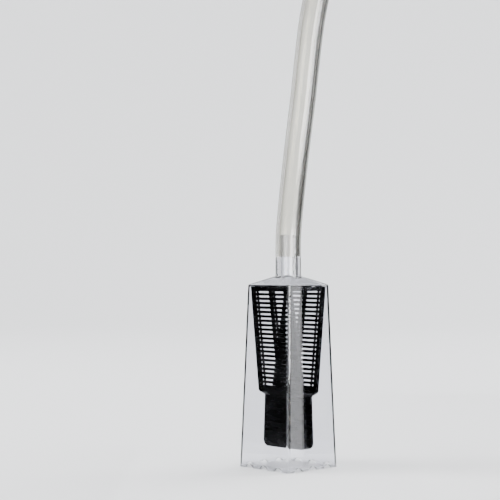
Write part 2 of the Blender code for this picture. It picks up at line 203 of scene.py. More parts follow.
def combine(item: Piece, tool: Piece, operation: str) -> None:
    """Apply an exact Boolean and delete the tool.

    Args:
        item: the piece that is changed.
        tool: the other shape.
        operation: UNION, DIFFERENCE or INTERSECT.
    """
    change = item.modifiers.new(operation.lower(), "BOOLEAN")
    change.operation = operation
    change.solver = "EXACT"
    change.object = tool
    bake(item)
    bpy.data.objects.remove(tool, do_unlink=True)


def bake(item: Piece) -> None:
    """Replace an object's mesh by its evaluated mesh and drop the modifiers.

    Args:
        item: the object.
    """
    bpy.context.view_layer.update()
    graph = bpy.context.evaluated_depsgraph_get()
    mesh = bpy.data.meshes.new_from_object(item.evaluated_get(graph), depsgraph=graph)
    item.modifiers.clear()
    item.data = mesh


def soften(item: Piece, width: float, segments: int = 2, angle: float = 32.0) -> None:
    """Round the sharp edges of a piece and shade it smooth.

    Args:
        item: the piece.
        width: bevel width in metres.
        segments: bevel segments.
        angle: edges sharper than this many degrees are rounded.
    """
    change = item.modifiers.new("soft_edges", "BEVEL")
    change.width = width
    change.segments = segments
    change.limit_method = "ANGLE"
    change.angle_limit = math.radians(angle)
    change.harden_normals = False
    bake(item)
    shade(item)


def shade(item: Piece, angle: float = 38.0) -> None:
    """Shade a piece smooth except at its sharp edges, with its large faces kept flat.

    Args:
        item: the piece.
        angle: edges sharper than this many degrees stay sharp.
    """
    item.data.shade_smooth()
    item.data.set_sharp_from_angle(angle=math.radians(angle))
    flat = item.modifiers.new("flat_faces", "WEIGHTED_NORMAL")
    flat.keep_sharp = True
    flat.weight = 100
    bake(item)


def finish_piece(item: Piece, material: Dressing, body: Body, slot: Slot,
                 replaces: Sequence[str] = ()) -> None:
    """Dress a piece and let it ride on its body.

    Args:
        item: the piece.
        material: its material.
        body: the body it rides on.
        slot: its finish slot; not used.
        replaces: the CAD nodes that it stands for.
    """
    item.data.materials.clear()
    item.data.materials.append(material)
    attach(item, body.value)
    if replaces:
        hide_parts(*replaces)
    LOG.info("%s: %d faces on %s", item.name, len(item.data.polygons), body.value)


# ---- geometry node helper -----------------------------------------------------------------------


class Recipe:
    """A geometry node tree under construction, with named inputs."""

    def __init__(self, name: str, inputs: Sequence[tuple[str, str]]) -> None:
        """Start a tree.

        Args:
            name: the tree's name.
            inputs: the (name, socket type) of each input after the geometry.
        """
        self.tree = bpy.data.node_groups.new(name, "GeometryNodeTree")
        face = self.tree.interface
        face.new_socket("Geometry", in_out="INPUT", socket_type="NodeSocketGeometry")
        self.idents = {
            label: face.new_socket(label, in_out="INPUT", socket_type=kind).identifier
            for label, kind in inputs
        }
        face.new_socket("Geometry", in_out="OUTPUT", socket_type="NodeSocketGeometry")
        self.given = self.tree.nodes.new("NodeGroupInput").outputs
        self.result = self.tree.nodes.new("NodeGroupOutput").inputs[0]

    def node(self, kind: str, settings: dict | None = None, **links: object) -> bpy.types.Node:
        """Add a node and fill its inputs.

        Args:
            kind: the node's type.
            settings: attributes to set on the node.
            links: input name (spaces as _) to a value or an output socket.

        Returns:
            The new node.
        """
        made = self.tree.nodes.new(kind)
        for key, value in (settings or {}).items():
            setattr(made, key, value)
        for key, value in links.items():
            self.feed(made.inputs[key.replace("_", " ")], value)
        return made

    def feed(self, socket: Socket, value: object) -> None:
        """Link an output to a socket, or set its value.

        Args:
            socket: the input.
            value: a value or an output socket.
        """
        if isinstance(value, Socket):
            self.tree.links.new(value, socket)
        else:
            socket.default_value = value

    def calc(self, operation: str, first: object, second: object = 0.0, third: object = 0.0) -> Socket:
        """The result of a sum on values and sockets.

        Args:
            operation: the math operation.
            first: value or socket.
            second: value or socket.
            third: value or socket.

        Returns:
            The output socket.
        """
        made = self.tree.nodes.new("ShaderNodeMath")
        made.operation = operation
        for socket, value in zip(made.inputs, (first, second, third)):
            self.feed(socket, value)
        return made.outputs[0]

    def xyz(self, x: object = 0.0, y: object = 0.0, z: object = 0.0) -> Socket:
        """A vector made of three values or sockets."""
        return self.node("ShaderNodeCombineXYZ", X=x, Y=y, Z=z).outputs[0]

    def line(self, count: object, start: object, step: object) -> Socket:
        """Points in a straight row.

        Args:
            count: how many.
            start: the first point.
            step: from each point to the next.

        Returns:
            The points' socket.
        """
        made = self.node("GeometryNodeMeshLine", Count=count, Offset=step)
        self.feed(made.inputs["Start Location"], start)
        return made.outputs[0]

    def copies(self, points: Socket, shape: Socket, turn: object = (0.0, 0.0, 0.0)) -> Socket:
        """A copy of a shape on every point.

        Args:
            points: where they stand.
            shape: what is copied.
            turn: each copy's turn about X, Y and Z.

        Returns:
            The copies' socket.
        """
        made = self.node("GeometryNodeInstanceOnPoints", Points=points, Instance=shape, Rotation=turn)
        return made.outputs[0]

    def real(self, geometry: Socket) -> Socket:
        """Copies turned into real faces."""
        return self.node("GeometryNodeRealizeInstances", Geometry=geometry).outputs[0]

    def shape(self) -> Socket:
        """The geometry of the object that the tree is given as Shape."""
        return self.node("GeometryNodeObjectInfo", Object=self.given["Shape"]).outputs["Geometry"]

    def cut(self, geometry: Socket, shapes: Socket) -> Socket:
        """Cut shapes out of a geometry, exactly.

        Args:
            geometry: what is cut.
            shapes: what cuts it.

        Returns:
            The result's socket.
        """
        made = self.node("GeometryNodeMeshBoolean", {"operation": "DIFFERENCE", "solver": "EXACT"})
        self.feed(made.inputs["Mesh 1"], geometry)
        self.feed(made.inputs["Mesh 2"], shapes)
        return made.outputs["Mesh"]

    def close(self, geometry: Socket) -> None:
        """End the tree with Realize Instances and Set Material.

        Args:
            geometry: what the tree has made.
        """
        dress = self.node("GeometryNodeSetMaterial", Geometry=self.real(geometry))
        self.feed(dress.inputs["Material"], self.given["Material"])
        self.tree.links.new(dress.outputs[0], self.result)

    def apply(self, item: Piece, **values: object) -> None:
        """Run the tree on an object and keep the result as its mesh.

        Args:
            item: the object.
            values: input name (spaces as _) to its value.
        """
        change = item.modifiers.new(self.tree.name, "NODES")
        change.node_group = self.tree
        for key, value in values.items():
            change[self.idents[key.replace("_", " ")]] = value
        bake(item)


FLOAT, WHOLE, ARROW = "NodeSocketFloat", "NodeSocketInt", "NodeSocketVector"
THING, DRESS = "NodeSocketObject", "NodeSocketMaterial"


# ---- materials ----------------------------------------------------------------------------------


class Dye:
    """A Principled material with its object coordinates at hand."""

    def __init__(self, name: str) -> None:
        """Start a material.

        Args:
            name: its name.
        """
        self.material = bpy.data.materials.new(name)
        self.material.use_nodes = True
        self.tree = self.material.node_tree
        self.shader = self.tree.nodes["Principled BSDF"]
        self.place = self.tree.nodes.new("ShaderNodeTexCoord").outputs["Object"]

    def set(self, **values: object) -> None:
        """Set constant values on the shader's own sockets.

        Args:
            values: input name (spaces as _) to its value.
        """
        for key, value in values.items():
            self.shader.inputs[key.replace("_", " ")].default_value = value

    def noise(self, scale: float, stretch: Point = (1.0, 1.0, 1.0), detail: float = 3.0) -> Socket:
        """Noise on object coordinates.

        Args:
            scale: noise scale per metre.
            stretch: scale along each axis.
            detail: noise detail.

        Returns:
            The factor output.
        """
        mapping = self.tree.nodes.new("ShaderNodeMapping")
        mapping.inputs["Scale"].default_value = stretch
        noise = self.tree.nodes.new("ShaderNodeTexNoise")
        noise.inputs["Scale"].default_value = scale
        noise.inputs["Detail"].default_value = detail
        self.tree.links.new(self.place, mapping.inputs["Vector"])
        self.tree.links.new(mapping.outputs[0], noise.inputs["Vector"])
        return noise.outputs["Fac"]

    def ramp(self, factor: Socket, stops: Sequence[tuple[float, Sequence[float]]]) -> Socket:
        """A colour ramp.

        Args:
            factor: what drives it.
            stops: (place, colour) pairs.

        Returns:
            The colour output.
        """
        ramp = self.tree.nodes.new("ShaderNodeValToRGB")
        while len(ramp.color_ramp.elements) < len(stops):
            ramp.color_ramp.elements.new(1.0)
        for element, (place, colour) in zip(ramp.color_ramp.elements, stops):
            element.position = place
            element.color = (*colour, 1.0)
        self.tree.links.new(factor, ramp.inputs["Fac"])
        return ramp.outputs["Color"]

    def spread(self, factor: Socket, low: float, high: float,
               start: float = 0.3, end: float = 0.7) -> Socket:
        """Map a factor from start..end to low..high.

        Args:
            factor: the driving output.
            low: result at start.
            high: result at end.
            start: factor at low.
            end: factor at high.

        Returns:
            The mapped output.
        """
        node = self.tree.nodes.new("ShaderNodeMapRange")
        self.tree.links.new(factor, node.inputs["Value"])
        node.inputs["From Min"].default_value = start
        node.inputs["From Max"].default_value = end
        node.inputs["To Min"].default_value = low
        node.inputs["To Max"].default_value = high
        return node.outputs["Result"]

    def height(self) -> Socket:
        """The height above the floor.

        Returns:
            The Z output of the object coordinates.
        """
        split = self.tree.nodes.new("ShaderNodeSeparateXYZ")
        self.tree.links.new(self.place, split.inputs[0])
        return split.outputs["Z"]

    def add(self, first: Socket, second: Socket) -> Socket:
        """Two factors added up.

        Args:
            first: an output.
            second: an output.

        Returns:
            Their sum's output.
        """
        node = self.tree.nodes.new("ShaderNodeMath")
        self.tree.links.new(first, node.inputs[0])
        self.tree.links.new(second, node.inputs[1])
        return node.outputs[0]

    def drive(self, name: str, output: Socket) -> None:
        """Link an output to one of the shader's inputs."""
        self.tree.links.new(output, self.shader.inputs[name])

    def bump(self, height: Socket, distance: float, strength: float = 1.0,
             after: Socket | None = None) -> Socket:
        """Add a bump.

        Args:
            height: the height output.
            distance: its depth in metres.
            strength: its strength.
            after: the normal that it builds on.

        Returns:
            The normal output, which also drives the shader.
        """
        node = self.tree.nodes.new("ShaderNodeBump")
        node.inputs["Distance"].default_value = distance
        node.inputs["Strength"].default_value = strength
        self.tree.links.new(height, node.inputs["Height"])
        if after is not None:
            self.tree.links.new(after, node.inputs["Normal"])
        self.drive("Normal", node.outputs["Normal"])
        return node.outputs["Normal"]


@dataclass(frozen=True)
class ClearMoulding:
    """Water-clear moulded plastic with faint flow waves, handling marks, a rim worn rough by gravel and
    a grey band of painted shade along the rim.
    """

    tint: tuple[float, float, float] = (0.895, 0.900, 0.930)
    haze: tuple[float, float, float] = (0.855, 0.860, 0.895)
    ior: float = 1.46
    polish: float = 0.015
    scuffed: float = 0.075
    # A band along the rim: its roughness is real wear by gravel, and its grey colour is painted shade
    # near the floor.
    rim_wear: float = 0.30
    wear_and_shade_from: float = 0.5 * MM
    wear_and_shade_to: float = 5.0 * MM
    end_tone: tuple[float, float, float] = (0.700, 0.705, 0.735)

    def material(self) -> Dressing:
        """Mix the finish.

        Returns:
            The finished material.
        """
        dye = Dye("clear_moulding")
        dye.set(IOR=self.ior, Transmission_Weight=1.0, Metallic=0.0, Specular_IOR_Level=0.5)
        cloud = dye.noise(60.0, (1.0, 1.0, 0.35))
        # Band along the rim that carries both the real wear and the painted shade.
        wear_and_shade = dye.spread(dye.height(), 1.0, 0.0, self.wear_and_shade_from, self.wear_and_shade_to)
        clouding = dye.spread(cloud, 0.0, 0.3, 0.35, 0.75)
        # Painted shade: the rim's colour greys towards the floor.
        painted_rim_shade = dye.spread(wear_and_shade, 0.0, 0.7, 0.0, 1.0)
        greys = [(0.0, self.tint), (0.3, self.haze), (1.0, self.end_tone)]
        dye.drive("Base Color", dye.ramp(dye.add(clouding, painted_rim_shade), greys))
        scratches = dye.noise(420.0, (1.0, 1.0, 0.06), 4.0)
        rubbed = dye.spread(wear_and_shade, 0.0, self.rim_wear, 0.0, 1.0)
        handled = dye.spread(scratches, self.polish, self.scuffed, 0.56, 0.78)
        dye.drive("Roughness", dye.add(handled, rubbed))
        flow = dye.noise(34.0, (1.0, 1.0, 0.22), 1.0)
        waves = dye.bump(flow, 0.030 * MM, 0.20)
        dye.bump(scratches, 0.004 * MM, 0.20, waves)
        return dye.material


@dataclass(frozen=True)
class BlackMoulding:
    """Gloss black moulding with faint flow marks and wiped-on dust."""

    deep: tuple[float, float, float] = (0.0022, 0.0022, 0.0026)
    end_tone: tuple[float, float, float] = (0.0070, 0.0070, 0.0080)
    name: str = "black_moulding"
    shine: float = 0.16
    gloss: float = 0.22
    dull: float = 0.38
    grain: float = 0.006 * MM

    def material(self) -> Dressing:
        """Mix the finish.

        Returns:
            The finished material.
        """
        dye = Dye(self.name)
        dye.set(IOR=1.50, Metallic=0.0, Specular_IOR_Level=self.shine)
        cloud = dye.noise(90.0, (1.0, 1.0, 0.4))
        dye.drive("Base Color", dye.ramp(cloud, [(0.38, self.deep), (0.78, self.end_tone)]))
        wipes = dye.noise(260.0, (0.25, 1.0, 1.0), 4.0)
        dye.drive("Roughness", dye.spread(wipes, self.gloss, self.dull, 0.40, 0.72))
        flow = dye.noise(120.0, (1.0, 1.0, 0.25), 2.0)
        waves = dye.bump(flow, 0.030 * MM, 0.2)
        dye.bump(dye.noise(5200.0, detail=2.0), self.grain, 0.6, waves)
        return dye.material


@dataclass(frozen=True)
class HoseVinyl:
    """Clear soft vinyl, a little warm and milky, with drawn lines along its length."""

    clear: tuple[float, float, float] = (0.835, 0.822, 0.770)
    milky: tuple[float, float, float] = (0.775, 0.762, 0.712)
    ior: float = 1.42
    smooth: float = 0.08
    bloom: float = 0.20

    def material(self) -> Dressing:
        """Mix the finish, with its drawn lines on the hose's own UV map.

        Returns:
            The finished material.
        """
        dye = Dye("hose_vinyl")
        dye.set(IOR=self.ior, Transmission_Weight=1.0, Metallic=0.0, Specular_IOR_Level=0.5)
        uv = dye.tree.nodes.new("ShaderNodeUVMap")
        uv.uv_map = "along_hose"
        mapping = dye.tree.nodes.new("ShaderNodeMapping")
        mapping.inputs["Scale"].default_value = (1.6, 34.0, 1.0)
        dye.tree.links.new(uv.outputs[0], mapping.inputs["Vector"])
        lines = dye.tree.nodes.new("ShaderNodeTexNoise")
        lines.inputs["Scale"].default_value = 1.0
        lines.inputs["Detail"].default_value = 3.0
        dye.tree.links.new(mapping.outputs[0], lines.inputs["Vector"])
        cloud = dye.noise(30.0)
        dye.drive("Base Color", dye.ramp(cloud, [(0.35, self.clear), (0.72, self.milky)]))
        dye.drive("Roughness", dye.spread(cloud, self.smooth, self.bloom, 0.40, 0.75))
        drawn = dye.bump(lines.outputs["Fac"], 0.10 * MM, 0.35)
        dye.bump(dye.noise(160.0, detail=2.0), 0.03 * MM, 0.4, drawn)
        return dye.material


@dataclass(frozen=True)
class StudioPaper:
    """Plain pale paper for the floor and the backdrop."""

    colour: tuple[float, float, float] = (0.90, 0.902, 0.905)
    upper: tuple[float, float, float] = (0.22, 0.222, 0.235)
    fade_from: float = 1.15
    fade_to: float = 1.60

    def material(self) -> Dressing:
        """Mix the finish, which darkens above the camera's view.

        Returns:
            The finished material.
        """
        dye = Dye("studio_paper")
        fibre = dye.noise(900.0)
        rise = dye.spread(dye.height(), 0.0, 1.0, self.fade_from, self.fade_to)
        dye.drive("Base Color", dye.ramp(rise, [(0.0, self.colour), (1.0, self.upper)]))
        dye.set(Roughness=0.62, Specular_IOR_Level=0.35)
        dye.bump(fibre, 0.02 * MM, 0.2)
        return dye.material


# ---- bell ---------------------------------------------------------------------------------------


@dataclass
class Bell:
    """The clear square bell with its low shoulder, neck and spigot.

    Sizes are metres; heights are from the mouth.
    """

    mouth: float = 44.0 * MM
    top: float = 37.0 * MM
    height: float = 114.0 * MM
    wall: float = 1.5 * MM
    corner: float = 2.2 * MM
    slope: float = 0.437
    neck_radius: float = 8.0 * MM
    neck_top: float = 131.5 * MM
    spigot_radius: float = 5.7 * MM
    spigot_top: float = 145.5 * MM
    bore_radius: float = 4.5 * MM
    edge: float = 0.5 * MM
    notch_width: float = 7.0 * MM
    notch_height: float = 2.4 * MM
    notch_flare: float = 0.4 * MM
    notch_crown: float = 1.35
    notch_step: float = 0.29
    notches: int = 3
    face_steps: tuple[int, ...] = (-36, -27, -18, -9, 0, 9, 18, 27, 36)
    corner_steps: int = 7

    def half(self, height: float) -> float:
        """Half the outside width at a height."""
        return (self.mouth + (self.top - self.mouth) * height / self.height) / 2

    def shoulder(self, reach: float) -> float:
        """Outside height of the shoulder at a distance from the axis, square to a side."""
        return self.height + self.slope * (self.top / 2 - reach)

    def square(self, half: float, corner: float, height: float | Callable[[float], float]) -> Ring:
        """A square ring with rounded corners.

        Args:
            half: half its width.
            corner: its corner radius.
            height: its height, or a rule of the distance square to a side.

        Returns:
            The ring, in step with those of disc.
        """
        points = []
        for quarter in range(4):
            reach = half - corner
            spots = [
                (half, reach * math.tan(math.radians(step)) / math.tan(math.radians(36)))
                for step in self.face_steps
            ]
            for step in range(1, self.corner_steps):
                bend = math.radians(90 * step / self.corner_steps)
                spots.append((reach + corner * math.cos(bend), reach + corner * math.sin(bend)))
            turn = Matrix.Rotation(quarter * math.pi / 2, 2)
            for spot in spots:
                x, y = turn @ Vector(spot)
                points.append((x, y, height(max(abs(x), abs(y))) if callable(height) else height))
        return points

    def disc(self, radius: float, height: float | Callable[[float], float]) -> Ring:
        """A round ring whose points are at the turns of those of square.

        Args:
            radius: its radius.
            height: its height, or a rule of the distance square to a side.

        Returns:
            The ring.
        """
        points = []
        for quarter in range(4):
            turns = list(self.face_steps)
            turns += [36 + 18 * step / self.corner_steps for step in range(1, self.corner_steps)]
            for turn in turns:
                angle = math.radians(quarter * 90 + turn)
                x, y = radius * math.cos(angle), radius * math.sin(angle)
                points.append((x, y, height(max(abs(x), abs(y))) if callable(height) else height))
        return points

    def raised(self, lift: float) -> Callable[[float], float]:
        """The shoulder's rule of height, raised by a lift."""
        return lambda reach: self.shoulder(reach) + lift

    def lining(self, reach: float) -> float:
        """Inside height of the shoulder at a distance from the axis, square to a side."""
        return self.shoulder(reach) - self.wall * math.hypot(1.0, self.slope)

    def outside(self) -> list[Ring]:
        """The outer rings, from the mouth up the walls and over the shoulder to the neck's rim.

        Returns:
            The rings, with every edge eased by a few narrow ones.
        """
        e, foot, brow, neck = self.edge, self.half(0.0), self.half(self.height), self.neck_radius
        rings = [
            self.square(foot - 0.5 * e, self.corner - 0.5 * e, 0.0),
            self.square(foot - 0.12 * e, self.corner - 0.12 * e, 0.15 * e),
            self.square(foot, self.corner, 0.5 * e),
        ]
        for share in (0.25, 0.5, 0.75):
            rings.append(self.square(self.half(share * self.height), self.corner, share * self.height))
        return rings + [
            self.square(self.half(self.height - e), self.corner, self.height - e),
            self.square(brow - 0.06 * e, self.corner, self.height - 0.35 * e),
            self.square(brow - 0.35 * e, self.corner, self.height + 0.02 * e),
            self.square(brow - e, self.corner, self.shoulder),
            self.disc(neck + 2.2 * e, self.raised(0.0)),
            self.disc(neck + 0.9 * e, self.raised(0.25 * e)),
            self.disc(neck + 0.25 * e, self.raised(0.9 * e)),
            self.disc(neck, self.raised(2.2 * e)),
            self.disc(neck, self.neck_top - 0.6 * e),
            self.disc(neck - 0.18 * e, self.neck_top - 0.18 * e),
            self.disc(neck - 0.6 * e, self.neck_top),
        ]

    def inside(self) -> list[Ring]:
        """The other rings, from the neck's rim over the spigot and down through the bore to the mouth.

        Returns:
            The rings, in step with those of outside.
        """
        e, foot, corner = self.edge, self.half(0.0), self.corner - self.wall
        rim = self.top / 2 - self.wall
        return [
            self.disc(self.spigot_radius, self.neck_top),
            self.disc(self.spigot_radius, self.spigot_top - 2.0 * e),
            self.disc(self.spigot_radius - 1.1 * e, self.spigot_top),
            self.disc(self.bore_radius, self.spigot_top),
            self.disc(self.bore_radius, self.lining),
            self.square(rim, corner, self.lining(rim)),
            self.square(foot - self.wall, corner, 0.5 * e),
            self.square(foot - self.wall + 0.12 * e, corner, 0.15 * e),
            self.square(foot - self.wall + 0.5 * e, corner, 0.0),
        ]

    def notch_recipe(self) -> Recipe:
        """Write the tree that cuts rows of notches into the mouth rim of all four sides.

        Returns:
            The tree, with the inputs Shape, Per Side, Step and Material.
        """
        recipe = Recipe("rim_notches", [
            ("Shape", THING), ("Per Side", WHOLE), ("Step", FLOAT), ("Material", DRESS),
        ])
        given = recipe.given
        steps = recipe.calc("SUBTRACT", given["Per Side"], 1.0)
        first = recipe.calc("MULTIPLY", recipe.calc("MULTIPLY", given["Step"], steps), -0.5)
        row = recipe.line(given["Per Side"], recipe.xyz(y=first), recipe.xyz(y=given["Step"]))
        side = recipe.copies(row, recipe.shape())
        corners = recipe.line(4, (0.0, 0.0, 0.0), (0.0, 0.0, 0.0))
        index = recipe.node("GeometryNodeInputIndex")
        turn = recipe.calc("MULTIPLY", index.outputs[0], math.pi / 2)
        ring = recipe.copies(corners, side, recipe.xyz(z=turn))
        recipe.close(recipe.cut(given["Geometry"], recipe.real(ring)))
        return recipe

    def notch(self) -> Piece:
        """Make one notch's cutter on the +X side: a low arch with a rounded crown.

        Returns:
            The cutter.
        """
        half = self.notch_width / 2
        wide = half + self.notch_flare
        outline = [(-wide, -1.0 * MM), (wide, -1.0 * MM), (wide, -0.1 * MM)]
        outline += [
            (half * math.cos(t), self.notch_height * math.sin(t) ** self.notch_crown)
            for t in (math.pi * i / 10 for i in range(1, 10))
        ]
        outline.append((-wide, -0.1 * MM))
        near, far = self.mouth / 2 - 2.5 * self.wall, self.mouth / 2 + self.wall
        return prism("notch_cutter", outline, near, far, along_x)

    def build(self, finish: ClearMoulding) -> Piece:
        """Make, notch and dress the bell.

        Args:
            finish: its finish.

        Returns:
            The bell.
        """
        bell = to_object("bell_moulding", skin(self.outside() + self.inside(), closed=True))
        material = finish.material()
        cutter = self.notch()
        self.notch_recipe().apply(
            bell, Shape=cutter, Per_Side=self.notches, Step=self.notch_step * self.mouth,
            Material=material,
        )
        bpy.data.objects.remove(cutter, do_unlink=True)
        shade(bell, 34.0)
        finish_piece(bell, material, Body.SIPHON, Slot.CLEAR, ["bell"])
        return bell


# ---- slotted insert -----------------------------------------------------------------------------


@dataclass
class StrainerInsert:
    """The black insert: a slotted wedge over a flat paddle, open at its narrow ends."""

    top: float = 112.93 * MM
    top_half: float = 16.3 * MM
    wedge_bottom: float = 45.5 * MM
    wedge_half: float = 18.75 * MM
    wedge_thick_half: float = 7.0 * MM
    plate: float = 1.5 * MM
    flange: float = 2.6 * MM
    band: float = 2.6 * MM
    chamfer: float = 2.0 * MM
    paddle_top_half: float = 16.6 * MM
    paddle_bottom_half: float = 17.8 * MM
    paddle_thick_half: float = 3.6 * MM
    paddle_bottom: float = 12.0 * MM
    paddle_corner: float = 4.0 * MM
    rows: int = 22
    pitch: float = 2.77 * MM
    slot_height: float = 1.1 * MM
    first_row_drop: float = 3.3 * MM
    spans: tuple[Flat, ...] = (
        (0.095, 0.148),
        (0.170, 0.475),
        (0.545, 0.592),
        (0.615, 0.865),
    )
    edge: float = 0.09 * MM

    def width_half(self, height: float) -> float:
        """Half the width in X at a height on the wedge."""
        share = (self.top - height) / (self.top - self.wedge_bottom)
        return self.top_half + (self.wedge_half - self.top_half) * share

    def thick_half(self, height: float) -> float:
        """Half the thickness in Y at a height on the wedge."""
        share = (self.top - height) / (self.top - self.wedge_bottom)
        return self.top_half + (self.wedge_thick_half - self.top_half) * share

    def front(self) -> list[Flat]:
        """Front outline, X against Z.

        Returns:
            The closed outline.
        """
        right = [
            (self.top_half, self.top),
            (self.wedge_half, self.wedge_bottom + self.chamfer),
            (self.wedge_half - self.chamfer, self.wedge_bottom),
            (self.paddle_top_half, self.wedge_bottom),
        ]
        middle = self.paddle_bottom_half - self.paddle_corner
        right += arc(middle, self.paddle_bottom + self.paddle_corner, self.paddle_corner, 0, -90)
        return right + [(-x, z) for x, z in reversed(right)]

    def side(self, wedge_inset: float, paddle_inset: float, top: float, bottom: float) -> list[Flat]:
        """Side outline, Y against Z.

        Args:
            wedge_inset: how far the wedge's faces move in.
            paddle_inset: how far the paddle's faces move in.
            top: upper height.
            bottom: lower height.

        Returns:
            The closed outline.
        """
        wedge = self.wedge_thick_half - wedge_inset
        paddle = self.paddle_thick_half - paddle_inset
        right = [
            (self.thick_half(top) - wedge_inset, top),
            (wedge, self.wedge_bottom + self.chamfer / 2),
            (paddle, self.wedge_bottom - self.chamfer / 2),
            (paddle, bottom),
        ]
        return right + [(-y, z) for y, z in reversed(right)]

    def carcass(self) -> Piece:
        """Make the insert without its slots: its front view, cut to its side view and hollowed.

        Returns:
            The insert.
        """
        wide, over = self.wedge_half + 3.0 * MM, 2.0 * MM
        deep = self.top_half + MM
        insert = prism("insert_moulding", self.front(), -deep, deep, along_y)
        outer = self.side(0.0, 0.0, self.top + over, self.paddle_bottom - over)
        combine(insert, prism("side", outer, -wide, wide, along_x), "INTERSECT")
        rings = []
        for height in (self.wedge_bottom + self.chamfer / 2 + self.plate, self.top + over):
            x, y = self.width_half(height) - self.plate, self.thick_half(height) - self.plate
            rings.append([(x, y, height), (-x, y, height), (-x, -y, height), (x, -y, height)])
        combine(insert, to_object("hollow", skin(rings)), "DIFFERENCE")
        low, high = self.paddle_bottom + self.plate, self.top - self.band
        window = self.side(self.flange, self.plate, high, low)
        combine(insert, prism("window", window, -wide, wide, along_x), "DIFFERENCE")
        return insert

    def slot_recipe(self) -> Recipe:
        """Write the tree that cuts one column of slots, fitted to the wedge's taper.

        Returns:
            The tree, with an input for each size of the column and of the wedge.
        """
        sizes = (
            "Pitch", "Slot Height", "First Row", "Start", "End", "Face", "Depth",
            "Top", "Bottom", "Top Half", "Width Half", "Thick Half",
        )
        recipe = Recipe("slot_column", [
            ("Rows", WHOLE), *((size, FLOAT) for size in sizes), ("Material", DRESS),
        ])
        given, calc = recipe.given, recipe.calc
        first = recipe.xyz(z=given["First Row"])
        rows = recipe.line(given["Rows"], first, recipe.xyz(z=calc("MULTIPLY", given["Pitch"], -1.0)))
        length = calc("SUBTRACT", given["End"], given["Start"])
        size = recipe.xyz(length, given["Depth"], given["Slot Height"])
        block = recipe.node("GeometryNodeMeshCube", Size=size)
        solid = recipe.real(recipe.copies(rows, block.outputs["Mesh"]))
        spot = recipe.node("GeometryNodeInputPosition")
        split = recipe.node("ShaderNodeSeparateXYZ", Vector=spot.outputs[0])
        fall = calc("SUBTRACT", given["Top"], split.outputs["Z"])
        share = calc("DIVIDE", fall, calc("SUBTRACT", given["Top"], given["Bottom"]))
        wider = calc("SUBTRACT", given["Width Half"], given["Top Half"])
        width = calc("MULTIPLY_ADD", wider, share, given["Top Half"])
        thinner = calc("SUBTRACT", given["Thick Half"], given["Top Half"])
        reach = calc("MULTIPLY_ADD", thinner, share, given["Top Half"])
        middle = calc("MULTIPLY", calc("ADD", given["Start"], given["End"]), 0.5)
        across = calc("MULTIPLY", calc("ADD", split.outputs["X"], middle), width)
        depth = calc("MULTIPLY_ADD", given["Face"], reach, split.outputs["Y"])
        moved = recipe.xyz(across, depth, split.outputs["Z"])
        placed = recipe.node("GeometryNodeSetPosition", Geometry=solid, Position=moved)
        recipe.close(recipe.cut(given["Geometry"], placed.outputs[0]))
        return recipe

    def build(self, finish: BlackMoulding) -> Piece:
        """Make, slot and dress the insert.

        Args:
            finish: its finish.

        Returns:
            The insert.
        """
        insert = self.carcass()
        material = finish.material()
        recipe = self.slot_recipe()
        for face in (-1.0, 1.0):
            for start, end in self.spans:
                shares = sorted(-face * (2 * share - 1) for share in (start, end))
                recipe.apply(
                    insert, Rows=self.rows, Pitch=self.pitch, Slot_Height=self.slot_height,
                    First_Row=self.top - self.first_row_drop, Start=shares[0], End=shares[1],
                    Face=face, Depth=4 * self.plate, Top=self.top, Bottom=self.wedge_bottom,
                    Top_Half=self.top_half, Width_Half=self.wedge_half,
                    Thick_Half=self.wedge_thick_half, Material=material,
                )
        soften(insert, self.edge)
        finish_piece(insert, material, Body.INSERT, Slot.BLACK, ["strainer_insert"])
        return insert


# ---- hose ---------------------------------------------------------------------------------------


